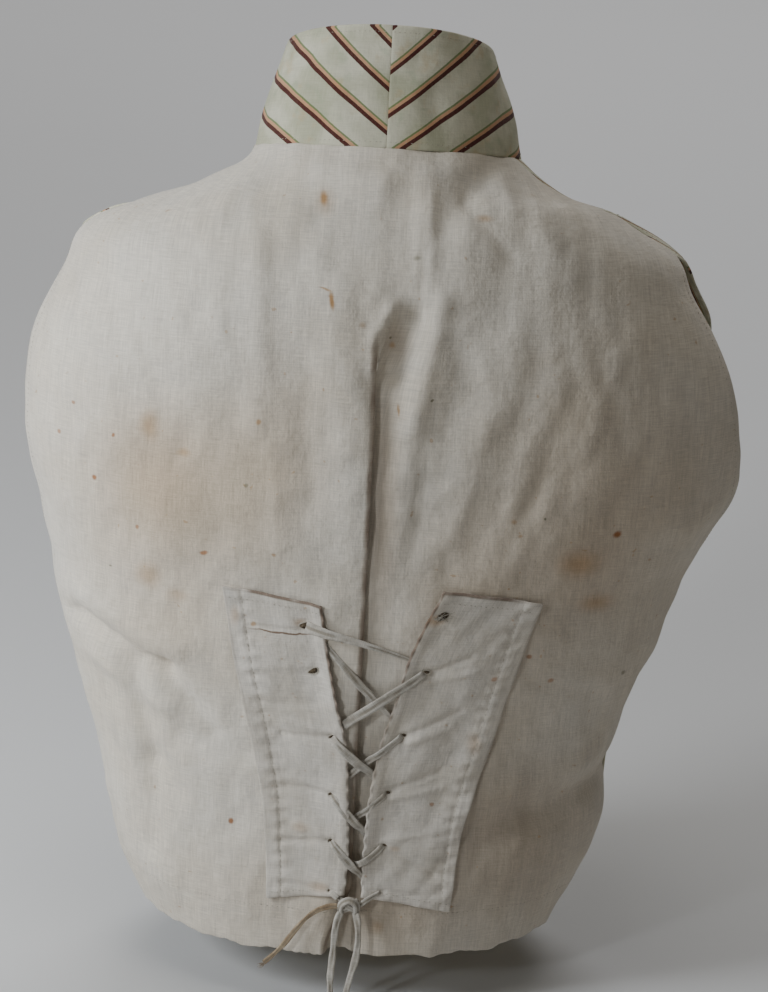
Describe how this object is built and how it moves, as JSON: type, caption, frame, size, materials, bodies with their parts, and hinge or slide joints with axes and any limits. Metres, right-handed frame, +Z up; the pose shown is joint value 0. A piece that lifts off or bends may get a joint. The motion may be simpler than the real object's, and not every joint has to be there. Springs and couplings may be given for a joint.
{
  "type": "waistcoat",
  "caption": "Sleeveless hollow waistcoat in off-white cotton with a striped standing collar, a plain back drawn in by two laced panels, and a buttoned front.",
  "frame": {"origin": "midway between the shoulders, level with the sides of the neck opening, on the middle line of the garment", "axes": "+X is the wearer's right, +Y is the wearer's front with the buttons, -Y is the laced back, +Z is up"},
  "size_m": [0.3912, 0.2437, 0.5361],
  "materials": {
    "plain_cotton": "matt off-white plain-weave cotton, aged and lightly stained",
    "panel_cotton": "matt off-white plain-weave cotton, hand stitched",
    "striped_cotton": "cream cotton with fine woven stripes of green, pink tan and dark red brown",
    "lace_tape": "narrow woven cotton tape, creased",
    "covered_button": "cotton drawn over a flat mould"
  },
  "bodies": {
    "root": {"back": "plain_cotton", "front_left": "striped_cotton", "front_right": "striped_cotton", "collar_left": "striped_cotton", "collar_right": "striped_cotton", "lacing_panel_left": "panel_cotton", "lacing_panel_right": "panel_cotton", "lace_1": "lace_tape", "lace_2": "lace_tape", "lace_3": "lace_tape", "lace_4": "lace_tape", "lace_5": "lace_tape", "lace_6": "lace_tape", "lace_7": "lace_tape", "lace_8": "lace_tape", "lace_9": "lace_tape", "lace_10": "lace_tape", "lace_11": "lace_tape", "lace_knot": "lace_tape", "lace_loop": "lace_tape", "lace_tail": "lace_tape", "button_1": "covered_button", "button_2": "covered_button", "button_3": "covered_button", "button_4": "covered_button", "button_5": "covered_button", "button_6": "covered_button", "button_7": "covered_button", "button_8": "covered_button"}
  },
  "joints": []
}
